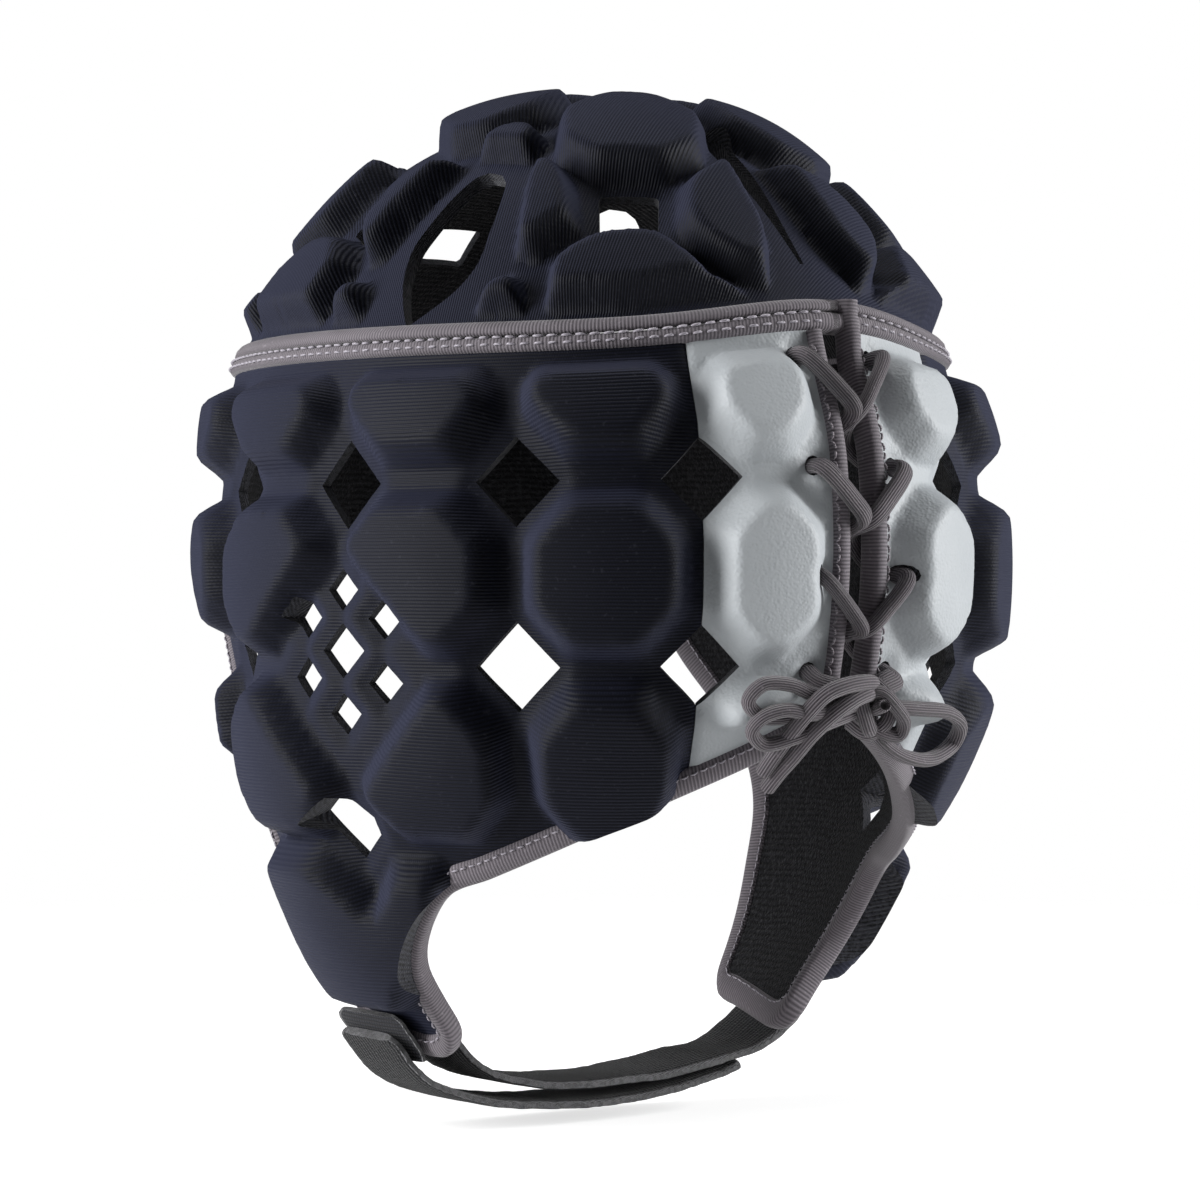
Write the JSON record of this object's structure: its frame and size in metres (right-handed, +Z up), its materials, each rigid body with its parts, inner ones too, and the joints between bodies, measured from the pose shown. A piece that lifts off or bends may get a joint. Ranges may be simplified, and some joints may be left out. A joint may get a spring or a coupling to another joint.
{
  "type": "rugby scrum cap",
  "caption": "Padded soft rugby head guard with a perforated crown, side flaps, laced back and a two-part chin strap.",
  "frame": {"origin": "inside face of the crown over the middle of the head, where the cap sits on a head", "axes": "+Z up, -Y toward the face, +Y toward the laced back, +X toward the wearer's left"},
  "size_m": [0.1848, 0.2199, 0.242],
  "materials": {
    "navy_mesh": "ribbed polyester over foam",
    "grey_coated": "matte coated synthetic over foam",
    "mauve_tape": "ribbed elastic tape",
    "lace_cord": "tubular knit lace",
    "black_webbing": "webbing and brushed loop pile"
  },
  "bodies": {
    "root": {"crown": "navy_mesh", "side_panel": "navy_mesh", "back_panel_left": "grey_coated", "back_panel_right": "grey_coated", "crown_edge_tape": "mauve_tape", "side_edge_tape": "mauve_tape", "lace_edge_tape_left": "mauve_tape", "lace_edge_tape_right": "mauve_tape", "edge_binding_left": "mauve_tape", "edge_binding_right": "mauve_tape", "lace": "lace_cord", "strap_anchor": "black_webbing", "chin_strap_outer": "black_webbing", "chin_strap_inner": "black_webbing"}
  },
  "joints": []
}
